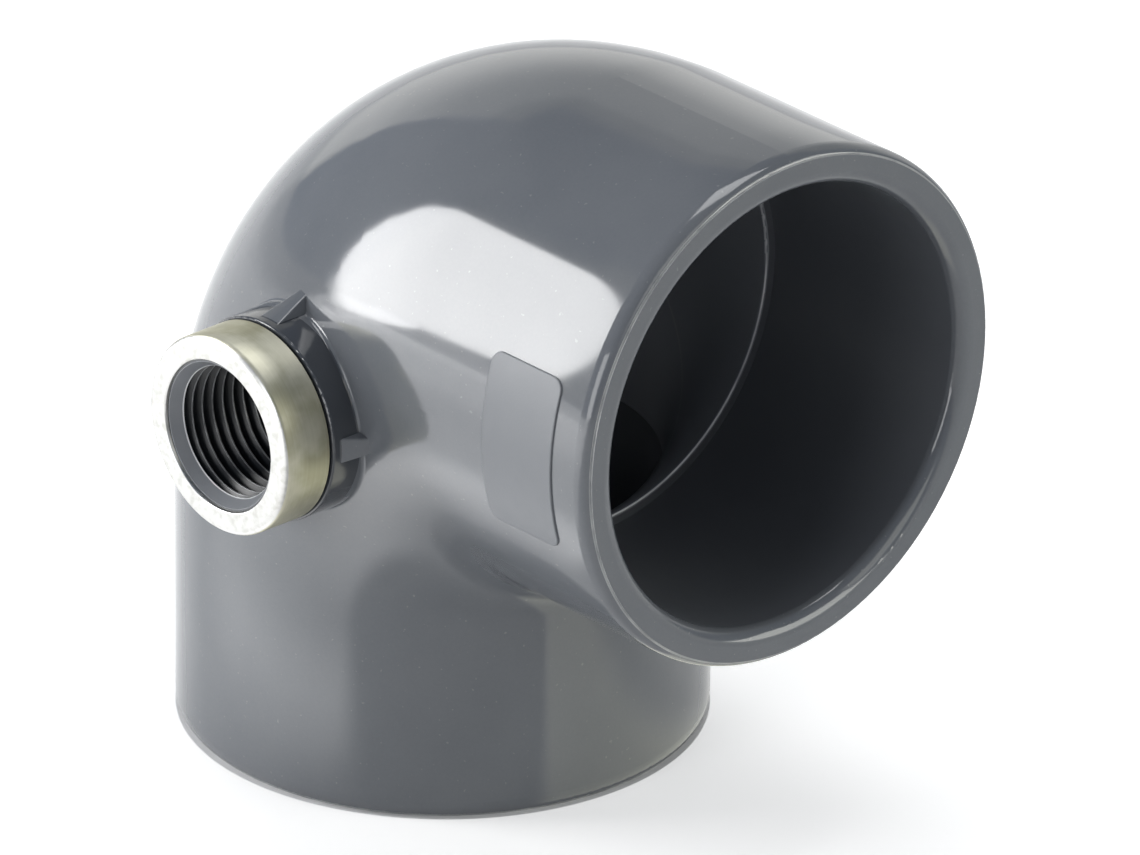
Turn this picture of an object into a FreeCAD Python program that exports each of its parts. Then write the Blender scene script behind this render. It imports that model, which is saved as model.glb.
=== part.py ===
import FreeCAD, Part
import math
import os

from FreeCAD import Vector

# Pressure pipe elbow, 90 degrees, with a tapped side outlet.
# The elbow stands on its lower socket. The origin is the centre of that mouth, +Z runs up
# the lower leg, the other leg points along +X and the tapped outlet along -Y.
# All lengths are in millimetres.

# Sockets: the two pipe ends, alike
socket_diameter = 63.2
socket_depth = 37.0
socket_wall = 5.4
lead_in_radius = 2.1

# Rim of each mouth: a flat land, a small step back, then an elliptical shoulder
land_step = 0.25
shoulder_width = 1.1
shoulder_length = 2.2

# Stops that the pipes butt against, and the lip left between them at the crotch
stop_width = 1.6
stop_edge_radius = 0.45
stop_land = 0.1
crotch_lip = 0.6

# Bend: how much larger its outside turns than the waterway, and the rounding of the crotch
heel_gain = 3.0
crotch_radius = 2.5

# Tapped outlet, beside the bend, on the plane that halves the elbow
outlet_offset = 9.7
thread_diameter = 20.956
thread_length = 15.5
port_shoulder = 1.5
nose_wall = 2.35
nose_lip_wall = 0.26
nose_setback = 0.5

# Collar behind the ring, with its gussets
collar_height = 4.55
collar_overhang = 0.35
collar_edge_radius = 0.3
collar_root_radius = 0.5
gusset_count = 4
gusset_height = 2.5
gusset_foot_width = 3.6
gusset_ridge_width = 1.4
gusset_edge_radius = 0.3

# Steel ring pressed over the nose
ring_wall = 1.25
ring_lip = 1.3
ring_length = 7.7
ring_play = 0.05
ring_gap = 0.45
ring_corner_radius = 1.0
ring_edge_radius = 0.25

# Legs and bend, from the sizes above
socket_radius = socket_diameter / 2
outer_radius = socket_radius + socket_wall
land_radius = outer_radius - shoulder_width
waterway_radius = socket_radius - stop_width
laying_length = socket_radius + crotch_lip
centre_to_mouth = laying_length + socket_depth
waterway_bend = laying_length - stop_edge_radius - stop_land
heel_bend = waterway_bend + heel_gain
crotch_bend = outer_radius + crotch_radius
wall_middle = (outer_radius + waterway_radius) / 2

# Outlet, collar and ring, outward from the elbow's wall
thread_radius = thread_diameter / 2
port_radius = thread_radius - port_shoulder
nose_radius = thread_radius + nose_wall
nose_lip_radius = thread_radius + nose_lip_wall
ring_bore = nose_radius + ring_play
ring_hole = nose_lip_radius + ring_play
ring_radius = ring_bore + ring_wall
collar_radius = ring_radius + collar_overhang
collar_front = outer_radius + collar_height
ring_back = collar_front + ring_gap
ring_front = ring_back + ring_length
nose_shoulder = ring_front - ring_lip
nose_end = ring_front - nose_setback

touching = 0.001
up = Vector(0, 0, 1)
along = Vector(1, 0, 0)
across = Vector(0, 1, 0)
outward = Vector(0, -1, 0)
axes_crossing = Vector(0, 0, centre_to_mouth)
outlet_root = Vector(outlet_offset, 0, centre_to_mouth - outlet_offset)


def line(start, end):
    return Part.makeLine(start, end)


def rounding(start, end, centre):
    """The arc of a rounded corner, from one point to another about its centre."""
    bulge = (start - centre) + (end - centre)
    middle = centre + bulge.normalize() * start.distanceToPoint(centre)
    return Part.Arc(start, middle, end).toShape()


def bend_arc(radius):
    """The quarter turn from the lower leg's axis to the horizontal leg's, at a bend radius."""
    centre = Vector(radius, 0, centre_to_mouth - radius)
    slant = radius * math.sqrt(0.5)
    middle = centre + Vector(-slant, 0, slant)
    start = centre - along * radius
    end = centre + up * radius
    return Part.Arc(start, middle, end).toShape()


def outline(points):
    return Part.Face(Part.makePolygon(points + [points[0]]))


def one_solid(shape):
    """The single solid that a boolean operation left, with its split faces joined."""
    return shape.removeSplitter().Solids[0]


def mirrored(shape):
    """The twin on the horizontal leg of a shape on the lower leg."""
    return shape.mirror(axes_crossing, Vector(1, 0, 1))


def real_edges(solid):
    return [edge for edge in solid.Edges if not edge.Degenerated]


def round_circle(solid, size, place):
    """A solid with its circular edge through a place rounded."""
    circles = [edge for edge in real_edges(solid) if edge.Curve.TypeId == "Part::GeomCircle"]
    spot = Part.Vertex(place)
    picked = [edge for edge in circles if edge.distToShape(spot)[0] < touching]
    return solid.makeFillet(size, picked).Solids[0]


def leg():
    """A solid leg from its mouth to the crotch, turned from a profile with the stepped rim."""
    top = centre_to_mouth - max(heel_bend, crotch_bend)
    foot = Vector(-land_radius, 0, land_step)
    shoulder = Vector(-outer_radius, 0, land_step + shoulder_length)
    swell = Part.Ellipse(foot, shoulder, Vector(-land_radius, 0, land_step + shoulder_length))
    edges = [
        line(Vector(), Vector(-land_radius, 0, 0)),
        line(Vector(-land_radius, 0, 0), foot),
        Part.ArcOfEllipse(swell, 0, math.pi / 2).toShape(),
        line(shoulder, Vector(-outer_radius, 0, top)),
        line(Vector(-outer_radius, 0, top), Vector(0, 0, top)),
        line(Vector(0, 0, top), Vector()),
    ]
    return Part.Face(Part.Wire(edges)).revolve(Vector(), up, 360)


def half_disc(side, height):
    """Half of the leg's round section at a height, on the heel side (-1) or the crotch side (1)."""
    centre = Vector(0, 0, height)
    low = centre - across * outer_radius
    high = centre + across * outer_radius
    rim = Part.Arc(low, centre + along * side * outer_radius, high).toShape()
    return Part.Face(Part.Wire([rim, line(high, low)]))


def quarter_turn(section, radius):
    """A section swept round the bend at a bend radius."""
    return section.revolve(Vector(radius, 0, centre_to_mouth - radius), across, 90)


def bend():
    """The heel half and the crotch half of the bend, each at its own radius, and the flat
    band between them that keeps the sides of the elbow smooth."""
    pieces = []
    leg_top = centre_to_mouth - max(heel_bend, crotch_bend)
    for side, radius in ((-1, heel_bend), (1, crotch_bend)):
        turn_start = centre_to_mouth - radius
        pieces.append(quarter_turn(half_disc(side, turn_start), radius))
        if turn_start > leg_top:
            upright = half_disc(side, leg_top).extrude(up * (turn_start - leg_top))
            pieces += [upright, mirrored(upright)]
    starts = [axes_crossing - up * heel_bend, axes_crossing - up * crotch_bend]
    ends = [axes_crossing + along * heel_bend, axes_crossing + along * crotch_bend]
    edges = [line(*starts), bend_arc(heel_bend), line(*ends), bend_arc(crotch_bend)]
    band = Part.Face(Part.Wire(Part.sortEdges(edges)[0]))
    band.translate(across * -outer_radius)
    return pieces + [band.extrude(across * 2 * outer_radius)]


def at_outlet(radius, reach):
    """A point at a radius above the outlet's axis and a distance out along it."""
    return outlet_root + up * radius + outward * reach


def turned_on_outlet(profile):
    """A solid turned on the outlet's axis from (radius, reach) pairs."""
    return outline([at_outlet(*pair) for pair in profile]).revolve(outlet_root, outward, 360)


def outlet_boss():
    """Collar and stepped nose, which the steel ring sits on."""
    profile = [
        (0, 0),
        (collar_radius, 0),
        (collar_radius, collar_front),
        (nose_radius, collar_front),
        (nose_radius, nose_shoulder),
        (nose_lip_radius, nose_shoulder),
        (nose_lip_radius, nose_end),
        (0, nose_end),
    ]
    boss = turned_on_outlet(profile)
    return round_circle(boss, collar_edge_radius, at_outlet(collar_radius, collar_front))


def on_collar_root(edge):
    """Whether an edge is part of the seam where the collar rises from the elbow's wall."""
    middle = edge.valueAt((edge.FirstParameter + edge.LastParameter) / 2)
    off_collar = abs(middle.distanceToLine(outlet_root, outward) - collar_radius)
    return off_collar < touching and middle.dot(outward) < (outer_radius + collar_front) / 2


def on_gusset_ridge(edge):
    """Whether an edge runs down one side of a gusset's ridge, which widens towards its foot."""
    first, last = (vertex.Point - outlet_root for vertex in edge.Vertexes)
    widens = abs(abs(first.dot(along)) - abs(last.dot(along))) > touching
    return widens and abs(first.dot(outward) - last.dot(outward)) > gusset_height


def gussets():
    """Small tapered ribs round the collar, sloping from its edge down to the elbow's wall."""
    ridge_radius = collar_radius + gusset_height
    foot_half = gusset_foot_width / 2
    ridge_half = gusset_ridge_width / 2
    section = outline([
        at_outlet(thread_radius, wall_middle) - along * foot_half,
        at_outlet(collar_radius, wall_middle) - along * foot_half,
        at_outlet(ridge_radius, wall_middle) - along * ridge_half,
        at_outlet(ridge_radius, wall_middle) + along * ridge_half,
        at_outlet(collar_radius, wall_middle) + along * foot_half,
        at_outlet(thread_radius, wall_middle) + along * foot_half,
    ])
    slope = turned_on_outlet([
        (0, wall_middle),
        (ridge_radius, wall_middle),
        (collar_radius - collar_edge_radius, collar_front - collar_edge_radius),
        (0, collar_front - collar_edge_radius),
    ])
    rib = section.extrude(outward * (collar_front - wall_middle)).common(slope)
    rib = rib.makeFillet(gusset_edge_radius, [edge for edge in rib.Edges if on_gusset_ridge(edge)])
    ribs = []
    for index in range(gusset_count):
        rib_copy = rib.copy()
        rib_copy.rotate(outlet_root, outward, 360 * index / gusset_count)
        ribs.append(rib_copy)
    return ribs


def outlet_hollow():
    """The tapped length at its major diameter, and the narrower port into the waterway."""
    thread_end = nose_end - thread_length
    past_nose = ring_front + ring_lip
    profile = [
        (0, 0),
        (port_radius, 0),
        (port_radius, thread_end),
        (thread_radius, thread_end),
        (thread_radius, past_nose),
        (0, past_nose),
    ]
    return turned_on_outlet(profile)


def socket_hollow():
    """The hollow of one leg: rounded lead-in, socket, rounded stop and the way in to the bend."""
    mouth = Vector(-socket_radius - lead_in_radius, 0, 0)
    wall_start = Vector(-socket_radius, 0, lead_in_radius)
    wall_end = Vector(-socket_radius, 0, socket_depth)
    stop_start = Vector(-waterway_radius - stop_edge_radius, 0, socket_depth)
    way_start = Vector(-waterway_radius, 0, socket_depth + stop_edge_radius)
    way_end = Vector(-waterway_radius, 0, centre_to_mouth - waterway_bend)
    edges = [
        line(Vector(), mouth),
        rounding(mouth, wall_start, mouth + up * lead_in_radius),
        line(wall_start, wall_end),
        line(wall_end, stop_start),
        rounding(stop_start, way_start, stop_start + up * stop_edge_radius),
        line(way_start, way_end),
        line(way_end, axes_crossing - up * waterway_bend),
        line(axes_crossing - up * waterway_bend, Vector()),
    ]
    return Part.Face(Part.Wire(edges)).revolve(Vector(), up, 360)


def elbow_body():
    """The whole moulding: legs, bend, boss and gussets, hollowed by waterway, sockets and tapping."""
    lower = leg()
    outside = one_solid(lower.fuse([mirrored(lower)] + bend()))
    outside = one_solid(outside.fuse(outlet_boss()))
    root = [edge for edge in real_edges(outside) if on_collar_root(edge)]
    outside = outside.makeFillet(collar_root_radius, root).Solids[0]
    outside = one_solid(outside.fuse(gussets()))
    way_in = Part.makeCircle(waterway_radius, axes_crossing - up * waterway_bend)
    way_in.rotate(Vector(), up, 180)
    waterway = quarter_turn(Part.Face(Part.Wire(way_in)), waterway_bend)
    socket = socket_hollow()
    hollow = one_solid(waterway.fuse([socket, mirrored(socket)]))
    return one_solid(outside.cut([hollow, outlet_hollow()]))


def reinforcing_ring():
    """Pressed steel cup: a plain sleeve with a lip turned in over the nose."""
    profile = [
        (ring_bore, ring_back),
        (ring_radius, ring_back),
        (ring_radius, ring_front),
        (ring_hole, ring_front),
        (ring_hole, nose_shoulder),
        (ring_bore, nose_shoulder),
    ]
    ring = turned_on_outlet(profile)
    ring = round_circle(ring, ring_corner_radius, at_outlet(ring_radius, ring_front))
    return round_circle(ring, ring_edge_radius, at_outlet(ring_hole, ring_front))


sub_parts = {"elbow_body": elbow_body(), "reinforcing_ring": reinforcing_ring()}
os.makedirs("parts", exist_ok=True)
for name, solid in sub_parts.items():
    solid.exportStep("parts/" + name + ".step")
    print(name, solid.ShapeType, solid.isValid(), round(solid.Volume), len(solid.Faces))
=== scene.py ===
import bpy, bmesh, math
from mathutils import Matrix, Vector


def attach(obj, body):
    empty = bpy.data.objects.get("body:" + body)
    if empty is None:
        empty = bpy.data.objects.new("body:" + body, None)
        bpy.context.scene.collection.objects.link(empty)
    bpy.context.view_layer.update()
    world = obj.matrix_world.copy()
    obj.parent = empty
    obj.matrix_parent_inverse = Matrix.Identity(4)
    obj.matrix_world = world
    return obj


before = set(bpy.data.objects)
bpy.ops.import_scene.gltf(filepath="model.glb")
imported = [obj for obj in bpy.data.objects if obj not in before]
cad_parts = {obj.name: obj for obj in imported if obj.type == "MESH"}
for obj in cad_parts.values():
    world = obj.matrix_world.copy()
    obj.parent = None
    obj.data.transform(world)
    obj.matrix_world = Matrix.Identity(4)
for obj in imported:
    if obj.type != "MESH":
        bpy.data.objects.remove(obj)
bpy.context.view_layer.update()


# Elbow body
# One grey PVC moulding: two pipe sockets at right angles, the bend, and the boss of the tapped
# outlet. It leaves the mould glossy, with a faint ripple. Its colour also holds painted light:
# painted highlights on the fine line where the two cores that shape its waterway meet across
# the bend, on the outer edge of each mouth's face and on the stop's edge, painted shade on the
# collar and in the sockets, and painted light deeper in the waterway.

leg_radius = 0.037
axes_crossing_height = 0.0692
waterway_radius = 0.030
waterway_bend = 0.03165
waterway_margin = 0.0003
core_line_centre = (0.00908, 0.0, 0.06012)
core_line_width = 0.00022
core_line_margin = 0.0006
socket_reach = 0.0318
stop_distance = 0.0322
stop_edge_radius = 0.03015
stop_edge_width = 0.00009
stop_edge_depth = 0.0008
lead_in_start = 0.0671
face_radius = 0.03600
face_start = 0.0683
face_edge_width = 0.00014
face_edge_highlight_strength = 1.1
eased_from = 0.0595
eased_by = 3.2
outlet_x = 0.0097
outlet_z = 0.0595
collar_reach = 0.01455
collar_back = -0.0368

pvc_grey = (0.113, 0.122, 0.136)
pvc_pale = (0.139, 0.148, 0.161)
pvc_speck = (0.30, 0.31, 0.31)
pvc_edge_highlight = (0.46, 0.47, 0.47)
pvc_collar_shade = (0.052, 0.057, 0.065)
pvc_socket_shade = (0.096, 0.103, 0.115)
pvc_deep_painted_light = (0.17, 0.18, 0.20)
pvc_core_line_highlight = (0.21, 0.22, 0.235)
highlight_pale = (0.80, 0.81, 0.82)
pvc_ior = 1.53
speck_strength = 0.3
flow_share = 0.5
ripple_depth = 0.00007
peel_depth = 0.0000004


class Value:
    """A number in a shader. Sums, differences and products of it add Math nodes."""

    def __init__(self, shader, socket):
        self.shader = shader
        self.socket = socket

    def math(self, operation, first, second=0.0):
        return self.shader.node("ShaderNodeMath", {"operation": operation}, {0: first, 1: second})

    def __add__(self, other):
        return self.math("ADD", self, other)

    def __radd__(self, other):
        return self.math("ADD", other, self)

    def __sub__(self, other):
        return self.math("SUBTRACT", self, other)

    def __rsub__(self, other):
        return self.math("SUBTRACT", other, self)

    def __mul__(self, other):
        return self.math("MULTIPLY", self, other)

    def __rmul__(self, other):
        return self.math("MULTIPLY", other, self)

    def __lt__(self, other):
        return self.math("LESS_THAN", self, other)

    def __gt__(self, other):
        return self.math("GREATER_THAN", self, other)

    def __abs__(self):
        return self.math("ABSOLUTE", self)

    def power(self, other):
        return self.math("POWER", self, other)

    def or_more(self, other):
        return self.math("MAXIMUM", self, other)


class Shader:
    """The nodes of a material or of the room's light."""

    def __init__(self, tree):
        self.tree = tree

    def connect(self, socket, value):
        if isinstance(value, Value):
            self.tree.links.new(value.socket, socket)
        elif socket.type == "RGBA" and len(value) == 3:
            socket.default_value = (*value, 1.0)
        else:
            socket.default_value = value

    def node(self, kind, settings, inputs, output=0):
        made = self.tree.nodes.new(kind)
        for name, setting in settings.items():
            setattr(made, name, setting)
        for name, value in inputs.items():
            self.connect(made.inputs[name], value)
        return Value(self, made.outputs[output])

    def mix_colour(self, factor, first, second):
        inputs = {0: factor, 6: first, 7: second}
        return self.node("ShaderNodeMix", {"data_type": "RGBA"}, inputs, 2)

    def ramp(self, value, start, end):
        """Nought until a value reaches start, one from end on, and smooth between them."""
        return self.node("ShaderNodeMapRange", {"interpolation_type": "SMOOTHSTEP"}, {
            "Value": value, "From Min": start, "From Max": end,
        })

    def ray(self, kind):
        """One for rays of a kind, such as Camera or Glossy, and nought for all others."""
        return self.node("ShaderNodeLightPath", {}, {}, f"Is {kind} Ray")


class Finish(Shader):
    """A material with one Principled surface, patterned by place on the elbow."""

    def __init__(self, name):
        self.material = bpy.data.materials.new(name)
        self.material.use_nodes = True
        super().__init__(self.material.node_tree)
        self.surface = self.tree.nodes["Principled BSDF"]
        self.place = self.node("ShaderNodeTexCoord", {}, {}, "Object")

    def set(self, **values):
        for name, value in values.items():
            self.connect(self.surface.inputs[name.replace("_", " ").title()], value)

    def axis(self, name):
        return self.node("ShaderNodeSeparateXYZ", {}, {"Vector": self.place}, name)

    def noise(self, scale, detail=2.0, where=None):
        inputs = {"Vector": where or self.place, "Scale": scale, "Detail": detail}
        return self.node("ShaderNodeTexNoise", {}, inputs)

    def bump(self, height, depth, normal=None):
        inputs = {"Height": height, "Distance": depth, "Strength": 1.0}
        if normal:
            inputs["Normal"] = normal
        return self.node("ShaderNodeBump", {}, inputs, "Normal")


def length(first, second):
    """How far a point lies from an axis, out of its two distances across that axis."""
    return (first * first + second * second).power(0.5)


pvc = Finish("moulded_pvc")
from_crossing = pvc.axis("X")
below_crossing = axes_crossing_height - pvc.axis("Z")
from_side_axis = length(pvc.axis("Y"), below_crossing)
from_lower_axis = length(pvc.axis("Y"), from_crossing)
in_side_leg = (from_side_axis < socket_reach) * (from_crossing > waterway_bend)
in_lower_leg = (from_lower_axis < socket_reach) * (below_crossing > waterway_bend)
in_legs = in_side_leg + in_lower_leg
round_bend = length(from_crossing - waterway_bend, below_crossing - waterway_bend)
from_bend_axis = length(pvc.axis("Y"), round_bend - waterway_bend)
in_bend = from_bend_axis < waterway_radius + waterway_margin
in_bend = in_bend * (from_crossing < waterway_bend) * (below_crossing < waterway_bend)
behind_lead_in = (from_crossing < lead_in_start) * (below_crossing < lead_in_start)
behind_stop = (from_crossing < stop_distance) * (below_crossing < stop_distance)
inside = in_legs * behind_lead_in + in_bend
deep = in_legs * behind_stop + in_bend

# Painted highlight: a pale fine line where the two cores meet across the bend.
across_bend = abs(pvc.axis("X") + pvc.axis("Z") - axes_crossing_height) < core_line_width
from_centre = pvc.node("ShaderNodeVectorMath", {"operation": "DISTANCE"}, {
    0: pvc.place, 1: core_line_centre,
}, "Value")
core_line_highlight = across_bend * (from_centre < waterway_radius + core_line_margin)
# Painted shade: the collar of the outlet's boss is coloured darker.
shaded_collar = length(pvc.axis("X") - outlet_x, pvc.axis("Z") - outlet_z) < collar_reach
shaded_collar = shaded_collar * (pvc.axis("Y") < collar_back)
# Painted highlight: a pale line along the outer edge of each mouth's face, broken up by noise.
side_edge = abs(from_side_axis - face_radius) < face_edge_width
side_edge = side_edge * (from_crossing > face_start)
lower_edge = abs(from_lower_axis - face_radius) < face_edge_width
lower_edge = lower_edge * (below_crossing > face_start)
face_edge_highlight = (side_edge + lower_edge) * pvc.noise(scale=260.0, detail=3.0) * face_edge_highlight_strength
# Painted highlight: a pale glint along the stop's inner edge in the side socket, fading out
# towards the top.
stop_edge_highlight = abs(from_side_axis - stop_edge_radius) < stop_edge_width
stop_edge_highlight = stop_edge_highlight * (abs(from_crossing - stop_distance) < stop_edge_depth)
stop_edge_highlight = stop_edge_highlight * pvc.ramp(below_crossing, start=-0.030, end=0.012)
stop_edge_highlight = stop_edge_highlight * pvc.ramp(pvc.noise(scale=90.0), start=0.2, end=0.6)

flow = pvc.noise(scale=55.0, detail=3.0)
ripple = pvc.noise(scale=38.0, detail=1.0)
peel = pvc.noise(scale=1400.0, detail=2.0)
rub = pvc.noise(scale=420.0, detail=4.0)
specks = pvc.ramp(pvc.noise(scale=1500.0, detail=1.0), start=0.72, end=0.80) * speck_strength
grain = pvc.noise(scale=2300.0, detail=2.0) * (1.0 - flow_share)
grain = pvc.ramp(flow, start=0.30, end=0.70) * flow_share + grain
grey_and_painted_light = pvc.mix_colour(grain, pvc_grey, pvc_pale)
grey_and_painted_light = pvc.mix_colour(specks, grey_and_painted_light, pvc_speck)
grey_and_painted_light = pvc.mix_colour(face_edge_highlight, grey_and_painted_light, pvc_edge_highlight)
grey_and_painted_light = pvc.mix_colour(shaded_collar, grey_and_painted_light, pvc_collar_shade)
# Painted shade: inside the sockets and the bend the colour is darker.
grey_and_painted_light = pvc.mix_colour(inside, grey_and_painted_light, pvc_socket_shade)
# Painted light: past the stops and through the bend the colour is lighter again.
grey_and_painted_light = pvc.mix_colour(deep, grey_and_painted_light, pvc_deep_painted_light)
grey_and_painted_light = pvc.mix_colour(core_line_highlight, grey_and_painted_light, pvc_core_line_highlight)
past_ease = from_crossing.or_more(below_crossing) - eased_from
eased = -1.0 * past_ease * past_ease * (past_ease > 0.0)
pvc.set(
    base_color=pvc.mix_colour(stop_edge_highlight, grey_and_painted_light, highlight_pale),
    roughness=0.06 + 0.06 * rub + 0.25 * inside,
    normal=pvc.bump(peel, peel_depth, pvc.bump(ripple, ripple_depth, pvc.bump(eased, eased_by))),
)
pvc.surface.inputs["IOR"].default_value = pvc_ior

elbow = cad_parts["elbow_body"]
elbow.material_slots[0].material = pvc.material


# Tapped thread
# The outlet's pipe thread, cut in the nose of the moulding behind a small countersink. Its
# turns run the whole depth of the tapping. Its colour paints the shade in the tapping, and
# highlights on the crests and where the countersink meets the thread.

thread_mouth = -0.0492
thread_depth = 0.0155
thread_crest = 0.00932
thread_root = 0.01040
thread_wall = 0.01047
thread_pitch = 0.001814
flank = 0.42 * thread_pitch
flat = 0.08 * thread_pitch
turns_before_mouth = 1.5
turns_to_spare = 2
steps_in_turn = 72
countersink_radius = 0.01036
countersink_depth = 0.0017
countersink_margin = 1.001
weld_distance = 0.00001
sharp_angle = math.radians(15)

countersink_grey = (0.20, 0.21, 0.225)
thread_painted_shade = (0.016, 0.018, 0.021)
thread_crest_highlight = (0.34, 0.35, 0.36)
countersink_edge_highlight_width = 0.00016
countersink_edge_highlight_strength = 0.8
crest_margin = 0.00007
cut_depth = 0.000004
cut_specular = 0.3

outlet_mouth = Vector((outlet_x, thread_mouth, outlet_z))
inward = Vector((0.0, 1.0, 0.0))


def finished(name, shape, finish):
    """Makes a smooth-shaded object of a finished shape, riding on the frame."""
    mesh = bpy.data.meshes.new(name)
    shape.to_mesh(mesh)
    shape.free()
    mesh.materials.append(finish.material)
    mesh.shade_smooth()
    mesh.set_sharp_from_angle(angle=sharp_angle)
    piece = bpy.data.objects.new(name, mesh)
    bpy.context.scene.collection.objects.link(piece)
    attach(piece, "root")


def cut_across(shape, point, facing, clear=False):
    """Cuts a shape along a plane, and can clear away all that lies beyond it."""
    everything = shape.verts[:] + shape.edges[:] + shape.faces[:]
    bmesh.ops.bisect_plane(
        shape, geom=everything, plane_co=point, plane_no=facing, clear_outer=clear,
    )


def set_radius(vertex, radius):
    """Moves a vertex straight out from the outlet's axis, or in towards it."""
    scale = radius / math.hypot(vertex.co.x - outlet_x, vertex.co.z - outlet_z)
    vertex.co.x = outlet_x + (vertex.co.x - outlet_x) * scale
    vertex.co.z = outlet_z + (vertex.co.z - outlet_z) * scale


thread = bmesh.new()
turn_profile = [
    (0.0, thread_root),
    (flat, thread_root),
    (flat + flank, thread_crest),
    (2 * flat + flank, thread_crest),
    (thread_pitch, thread_root),
]
first_turn = outlet_mouth - inward * turns_before_mouth * thread_pitch
turns = math.ceil(thread_depth / thread_pitch) + turns_to_spare
profile = [
    thread.verts.new(first_turn + inward * run + Vector((0.0, 0.0, radius)))
    for run, radius in turn_profile
]
ridge = [thread.edges.new(pair) for pair in zip(profile, profile[1:])]
bmesh.ops.spin(
    thread, geom=profile + ridge, cent=first_turn, axis=inward,
    dvec=inward * (thread_pitch / steps_in_turn),
    angle=math.tau * turns, steps=steps_in_turn * turns,
)
bmesh.ops.remove_doubles(thread, verts=thread.verts, dist=weld_distance)
cut_across(thread, outlet_mouth, -inward, clear=True)
cut_across(thread, outlet_mouth + inward * thread_depth, inward, clear=True)
cut_across(thread, outlet_mouth + inward * countersink_depth, inward)
for vertex in thread.verts:
    reach = (vertex.co.y - thread_mouth) / countersink_depth
    if reach < countersink_margin:
        set_radius(vertex, countersink_radius + (thread_crest - countersink_radius) * reach)
open_edges = [edge for edge in thread.edges if edge.is_boundary]
for item in bmesh.ops.extrude_edge_only(thread, edges=open_edges)["geom"]:
    if isinstance(item, bmesh.types.BMVert):
        set_radius(item, thread_wall)
bmesh.ops.bridge_loops(thread, edges=[edge for edge in thread.edges if edge.is_boundary])
bmesh.ops.recalc_face_normals(thread, faces=thread.faces)

cut_pvc = Finish("cut_pvc")
behind_mouth = cut_pvc.axis("Y") - thread_mouth
from_outlet_axis = length(cut_pvc.axis("X") - outlet_x, cut_pvc.axis("Z") - outlet_z)
past_countersink = behind_mouth > countersink_depth
# Painted highlight: a pale ring where the countersink meets the thread.
countersink_edge_highlight = abs(behind_mouth - countersink_depth) < countersink_edge_highlight_width
# Painted highlight: thin pale lines on the thread's crests, broken up by noise.
crest_highlights = (from_outlet_axis < thread_crest + crest_margin) * past_countersink
crest_highlights = crest_highlights * cut_pvc.noise(scale=600.0)
# Painted shade: past the countersink the thread is coloured near black.
cut_grey_shade_and_highlights = cut_pvc.mix_colour(past_countersink, countersink_grey, thread_painted_shade)
cut_grey_shade_and_highlights = cut_pvc.mix_colour(crest_highlights, cut_grey_shade_and_highlights, thread_crest_highlight)
cut_pvc.set(
    base_color=cut_pvc.mix_colour(countersink_edge_highlight * countersink_edge_highlight_strength, cut_grey_shade_and_highlights, highlight_pale),
    roughness=0.24 + 0.14 * cut_pvc.noise(scale=700.0),
    normal=cut_pvc.bump(cut_pvc.noise(scale=1400.0), cut_depth),
)
cut_pvc.surface.inputs["Specular IOR Level"].default_value = cut_specular
finished("outlet_thread", thread, cut_pvc)


# Reinforcing ring
# A steel ring pressed over the nose, so that a fitting screwed in can't split it. It is turned,
# which leaves fine circles on its face and its side, and its front corner is eased.

steel_pale = (0.60, 0.585, 0.48)
steel_dark = (0.32, 0.31, 0.21)
steel_face = (0.44, 0.44, 0.43)
steel_marked = (0.36, 0.36, 0.34)
mark_strength = 0.35
smear_strength = 0.6
mark_depth = 0.0000035
mark_stretch = 0.02
ring_face = -0.0492
shoulder_end = -0.0455
shoulder_fall = 46.0

steel = Finish("turned_steel")
on_side = steel.axis("Y") > ring_face
from_ring_axis = steel.axis("X") - outlet_x
turning = steel.node("ShaderNodeCombineXYZ", {}, {
    "X": length(from_ring_axis, steel.axis("Z") - outlet_z),
    "Y": steel.axis("Y"),
    "Z": from_ring_axis * mark_stretch,
})
marks = steel.noise(scale=5200.0, detail=3.0, where=turning)
smears = steel.noise(scale=160.0, detail=3.0)
smeared = steel.ramp(smears, start=0.35, end=0.65) * smear_strength
side_colour = steel.mix_colour(marks * mark_strength + smeared, steel_dark, steel_pale)
blotches = steel.ramp(steel.noise(scale=900.0, detail=3.0), start=0.45, end=0.70)
face_colour = steel.mix_colour(blotches, steel_face, steel_marked)
up_shoulder = (shoulder_end - steel.axis("Y")).or_more(0.0)
shoulder = steel.bump(-1.0 * up_shoulder * up_shoulder, shoulder_fall)
steel.set(
    base_color=steel.mix_colour(on_side, face_colour, side_colour),
    metallic=1.0,
    roughness=0.24 + 0.16 * smears + 0.15 * on_side,
    normal=steel.bump(marks, mark_depth, shoulder),
)
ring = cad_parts["reinforcing_ring"]
ring.material_slots[0].material = steel.material


# Marking plate
# A bare plate, raised a little from the side of the horizontal leg, with rounded corners. It is
# part of the moulding, and a little less glossy.

plate_start = 0.0488
plate_end = 0.0625
plate_half_arc = math.radians(19.4)
plate_turn = math.radians(0.9)
plate_height = 0.00026
plate_corner = 0.0018
plate_corner_steps = 6
plate_edge = 0.00020
plate_edge_steps = 2
plate_cuts = 28
plate_grain_depth = 0.000012
half_rise = leg_radius * plate_half_arc

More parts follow.
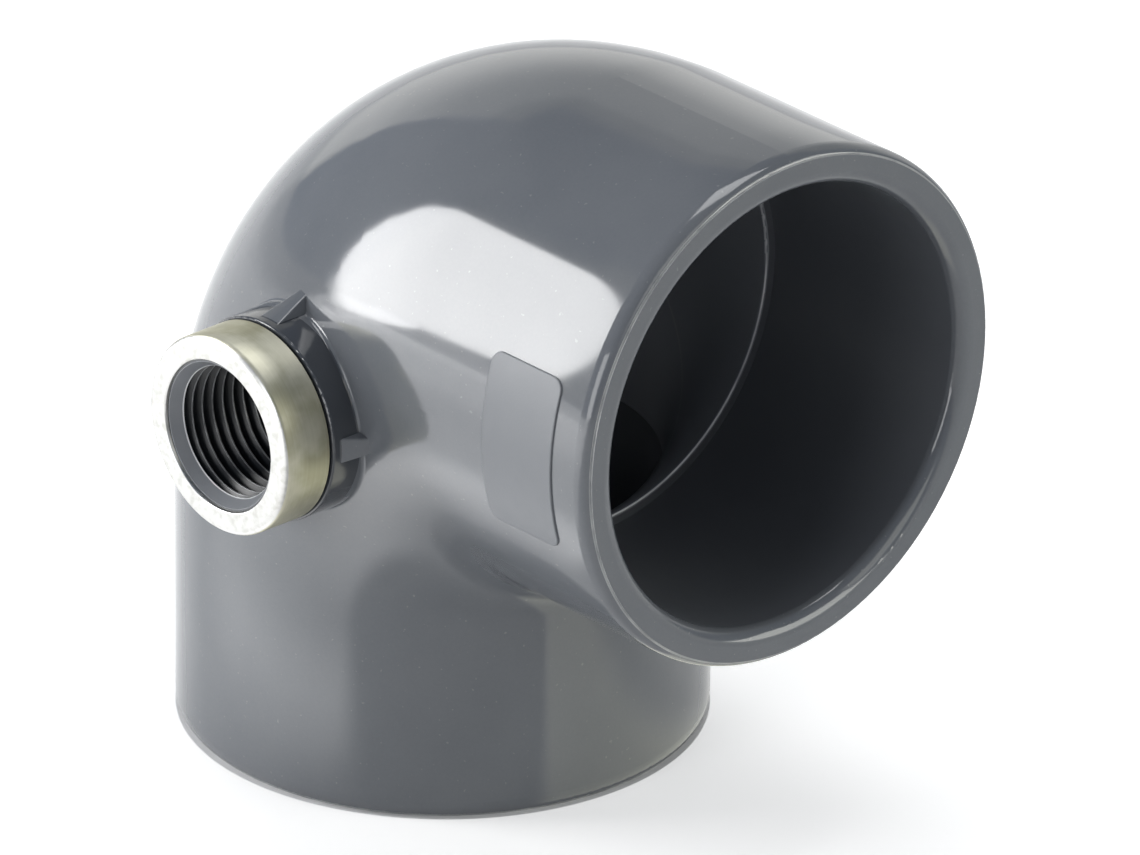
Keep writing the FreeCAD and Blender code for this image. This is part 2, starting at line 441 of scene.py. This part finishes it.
plate = bmesh.new()
bmesh.ops.create_grid(plate, x_segments=1, y_segments=1, size=1.0)
for vertex in plate.verts:
    vertex.co.x = plate_start if vertex.co.x < 0 else plate_end
    vertex.co.y *= half_rise
bmesh.ops.bevel(
    plate, geom=plate.verts[:], affect="VERTICES", offset=plate_corner,
    segments=plate_corner_steps, profile=0.5, material=-1,
)
lid = bmesh.ops.extrude_face_region(plate, geom=plate.faces[:])["geom"]
top = [item for item in lid if isinstance(item, bmesh.types.BMVert)]
bmesh.ops.translate(plate, verts=top, vec=(0.0, 0.0, plate_height * 2))
top_edges = [edge for edge in plate.edges if all(vertex in top for vertex in edge.verts)]
bmesh.ops.bevel(
    plate, geom=top_edges, affect="EDGES", offset=plate_edge,
    segments=plate_edge_steps, profile=0.5, material=-1,
)
for index in range(1, plate_cuts):
    cut_across(plate, (0, -half_rise + 2 * half_rise * index / plate_cuts, 0), (0, 1, 0))
for vertex in plate.verts:
    angle = vertex.co.y / leg_radius + plate_turn
    radius = leg_radius - plate_height + vertex.co.z
    vertex.co.y = -radius * math.cos(angle)
    vertex.co.z = axes_crossing_height + radius * math.sin(angle)
bmesh.ops.recalc_face_normals(plate, faces=plate.faces)

matt_pvc = Finish("matt_pvc")
matt_pvc.set(
    base_color=matt_pvc.mix_colour(matt_pvc.noise(scale=55.0, detail=3.0), pvc_grey, pvc_pale),
    roughness=0.34 + 0.10 * matt_pvc.noise(scale=500.0, detail=3.0),
    normal=matt_pvc.bump(matt_pvc.noise(scale=2600.0, detail=3.0), plate_grain_depth),
)
matt_pvc.surface.inputs["IOR"].default_value = pvc_ior
finished("marking_plate", plate, matt_pvc)


# Floor
# A sheet of white paper, far wider than the elbow that stands on it. It isn't a piece of the
# fitting. It takes the shadow, and the gloss of the elbow mirrors it. Where the gloss mirrors it,
# it glows with a painted reflection: the key softbox's sheen, a warm patch by the outlet and a
# brighter left.

floor_size = 12.0
paper_white = (0.90, 0.90, 0.90)
paper_shade = (0.87, 0.87, 0.87)
paper_specular = 0.1
paper_whitening = 0.43
mirrored_whitening = 0.06
outlet_glow = 0.9
outlet_glow_fall = 0.75
outlet_glow_colour = (1.0, 1.0, 0.82)
left_glow = 0.28
key_glow = 1.9

floor_shape = bmesh.new()
bmesh.ops.create_grid(floor_shape, x_segments=1, y_segments=1, size=floor_size)
floor_mesh = bpy.data.meshes.new("floor")
floor_shape.to_mesh(floor_mesh)
floor_shape.free()
floor = bpy.data.objects.new("floor", floor_mesh)
bpy.context.scene.collection.objects.link(floor)

paper = Finish("white_paper")
paper.set(
    base_color=paper.mix_colour(paper.noise(scale=900.0, detail=3.0), paper_shade, paper_white),
    roughness=0.9,
)
paper.surface.inputs["Specular IOR Level"].default_value = paper_specular


def along(x_share, y_share):
    """How far a point of the paper lies along a direction across it."""
    return x_share * paper.axis("X") + y_share * paper.axis("Y")


from_base = paper.node("ShaderNodeVectorMath", {"operation": "LENGTH"}, {0: paper.place}, "Value")
# Painted reflection: for rays that the gloss mirrors, the paper glows with the key softbox's
# sheen as on a glossy table, a warm patch by the outlet and a brighter left.
painted_key_sheen = paper.ramp(along(1.0, 0.123), start=0.0200, end=0.0075)
painted_key_sheen = painted_key_sheen * paper.ramp(along(0.194, -1.0), start=0.032, end=0.072)
painted_key_sheen = painted_key_sheen * paper.ramp(along(0.574, -0.819), start=-0.10, end=-0.04)
painted_key_sheen = painted_key_sheen * paper.ramp(from_base, start=4.0, end=2.0)
mirrored_ring = paper.ramp(from_base, start=0.07, end=0.10)
past_ring = paper.ramp(from_base, start=0.15, end=0.30)
painted_key_sheen = painted_key_sheen * (key_glow - mirrored_ring + past_ring)
painted_outlet_patch = paper.ramp(along(-0.05, 1.0), start=-0.0165, end=-0.0120)
painted_outlet_patch = painted_outlet_patch * paper.ramp(paper.axis("X"), start=0.010, end=0.020)
painted_outlet_patch = painted_outlet_patch * paper.ramp(from_base, start=0.150, end=0.110)
under_leg = paper.ramp(paper.axis("Y"), start=0.012, end=0.032)
painted_outlet_patch = painted_outlet_patch * (1.0 - outlet_glow_fall * under_leg)
on_left = paper.ramp(paper.axis("X"), start=0.02, end=-0.05)
painted_reflection = mirrored_whitening + painted_key_sheen + outlet_glow * painted_outlet_patch + left_glow * on_left
whitening = paper.ray("Camera") * paper_whitening + paper.ray("Glossy") * painted_reflection
glow_colour = paper.mix_colour(
    painted_outlet_patch * paper.ray("Glossy"), (1.0, 1.0, 1.0), outlet_glow_colour,
)
glow = paper.node("ShaderNodeEmission", {}, {
    "Color": glow_colour, "Strength": whitening * (from_base > leg_radius),
})
lit_paper = Value(paper, paper.surface.outputs[0])
blend = paper.node("ShaderNodeAddShader", {}, {0: lit_paper, 1: glow})
paper.connect(paper.tree.nodes["Material Output"].inputs["Surface"], blend)
floor_mesh.materials.append(paper.material)


# Studio light
# A tall softbox with rounded corners at the left and softer ones in front, on the right, behind
# and overhead. They stand in a white room with a dark screen at the left and a panel at the
# right, which show only where the gloss mirrors them.

lamp_target = Vector((0.02, 0.0, 0.06))
ellipse_share = math.pi / 4


def softbox(
    name, azimuth, elevation, distance, width, height, radiance,
    colour=(1.0, 1.0, 1.0), shape="RECTANGLE",
):
    """An area lamp that faces the elbow, at a radiance where 1 renders white."""
    lamp = bpy.data.lights.new(name, "AREA")
    lamp.shape = shape
    lamp.size = width
    lamp.size_y = height
    filled = ellipse_share if shape == "ELLIPSE" else 1.0
    lamp.energy = radiance * math.pi * width * height * filled
    lamp.color = colour
    turn, rise = math.radians(azimuth), math.radians(elevation)
    towards = Vector((
        math.sin(turn) * math.cos(rise), -math.cos(turn) * math.cos(rise), math.sin(rise),
    ))
    box = bpy.data.objects.new(name, lamp)
    bpy.context.scene.collection.objects.link(box)
    box.location = lamp_target + towards * distance
    box.rotation_euler = towards.to_track_quat("Z", "Y").to_euler()
    box.visible_camera = False
    return box


softbox(
    "key_softbox", azimuth=-47.7, elevation=16.9, distance=0.753,
    width=0.35, height=0.576, radiance=8.0, shape="ELLIPSE",
)
key_sheen = softbox(
    "key_sheen", azimuth=-47.7, elevation=16.9, distance=0.773,
    width=0.359, height=0.591, radiance=3.4, shape="ELLIPSE",
)
key_sheen.visible_diffuse = False
softbox(
    "front_softbox", azimuth=5.0, elevation=12.0, distance=1.1,
    width=0.5, height=0.5, radiance=4.3,
)
softbox(
    "side_softbox", azimuth=125.0, elevation=12.0, distance=1.2,
    width=0.6, height=0.6, radiance=5.0, colour=(1.0, 1.0, 0.93),
)
softbox(
    "back_softbox", azimuth=-124.0, elevation=14.0, distance=1.0,
    width=0.92, height=1.0, radiance=0.25, colour=(1.0, 0.995, 0.97),
)
softbox(
    "overhead_softbox", azimuth=-150.0, elevation=78.0, distance=1.2,
    width=0.75, height=0.45, radiance=4.8,
)

wall_low_white = (1.05, 1.05, 1.02)
wall_high_white = (0.50, 0.51, 0.50)
room_dark = (0.17, 0.20, 0.27)
panel_white = (1.8, 1.8, 1.72)
ambient_right = (0.24, 0.25, 0.27)
ambient_left = (0.34, 0.35, 0.37)

world = bpy.data.worlds.new("white_room")
bpy.context.scene.world = world
world.use_nodes = True
room = Shader(world.node_tree)
room.tree.nodes.remove(room.tree.nodes["Background"])
direction = room.node("ShaderNodeTexCoord", {}, {}, "Generated")
east = room.node("ShaderNodeSeparateXYZ", {}, {"Vector": direction}, "X")
south = room.node("ShaderNodeSeparateXYZ", {}, {"Vector": direction}, "Y")
upwards = room.node("ShaderNodeSeparateXYZ", {}, {"Vector": direction}, "Z")
bearing = room.node("ShaderNodeMath", {"operation": "ARCTAN2"}, {0: east, 1: -1.0 * south})
bearing = bearing * math.degrees(1.0)
leftwards = -0.94 * east + 0.34 * south
screen = room.ramp(bearing, start=-99.4, end=-98.9) * room.ramp(bearing, start=-56.0, end=-58.0)
screen = screen * room.ramp(upwards, start=-0.06, end=-0.04)
panel = room.ramp(bearing, start=58.0, end=66.0) * room.ramp(bearing, start=112.0, end=104.0)
panel = panel * room.ramp(upwards, start=0.17, end=0.26)
panel = panel * room.ramp(upwards, start=0.72, end=0.64)
wall = room.ramp(leftwards, start=0.05, end=0.35) * (1.0 - screen)
wall = wall * room.ramp(upwards, start=0.69, end=0.655)
wall_white = room.mix_colour(
    room.ramp(upwards, start=0.15, end=0.50), wall_low_white, wall_high_white,
)
mirrored_room = room.mix_colour(panel, room.mix_colour(wall, room_dark, wall_white), panel_white)
ambient = room.mix_colour(
    room.ramp(leftwards, start=-0.6, end=0.6), ambient_right, ambient_left,
)
in_gloss = room.node("ShaderNodeBackground", {}, {"Color": mirrored_room, "Strength": 1.0})
around = room.node("ShaderNodeBackground", {}, {"Color": ambient, "Strength": 1.0})
backdrop = room.node("ShaderNodeBackground", {}, {"Color": (1.0, 1.0, 1.0), "Strength": 1.0})
by_gloss = room.ray("Glossy").or_more(room.ray("Transmission"))
unseen = room.node("ShaderNodeMixShader", {}, {0: by_gloss, 1: around, 2: in_gloss})
whole = room.node("ShaderNodeMixShader", {}, {0: room.ray("Camera"), 1: unseen, 2: backdrop})
room.connect(room.tree.nodes["World Output"].inputs["Surface"], whole)


# Camera
# A long lens, to the right of the outlet and above it, that looks down into the side socket.

camera_azimuth = math.radians(47.527)
camera_elevation = math.radians(25.822)
camera_roll = math.radians(0.488)
camera_distance = 2.079
looked_at = Vector((0.02562, 0.0, 0.05074))
focal_length = 483.2
film_width = 36.0
nearest = 0.1
farthest = 60.0

back = Vector((
    math.sin(camera_azimuth) * math.cos(camera_elevation),
    -math.cos(camera_azimuth) * math.cos(camera_elevation),
    math.sin(camera_elevation),
))
level = Vector((math.cos(camera_azimuth), math.sin(camera_azimuth), 0.0))
upright = back.cross(level)
right = level * math.cos(camera_roll) + upright * math.sin(camera_roll)
up = upright * math.cos(camera_roll) - level * math.sin(camera_roll)
lens = bpy.data.cameras.new("camera")
lens.lens = focal_length
lens.sensor_width = film_width
lens.clip_start = nearest
lens.clip_end = farthest
camera = bpy.data.objects.new("camera", lens)
bpy.context.scene.collection.objects.link(camera)
facing = Matrix((right, up, back)).transposed().to_4x4()
camera.matrix_world = Matrix.Translation(looked_at + back * camera_distance) @ facing
bpy.context.scene.camera = camera
bpy.context.scene.view_settings.view_transform = "Standard"
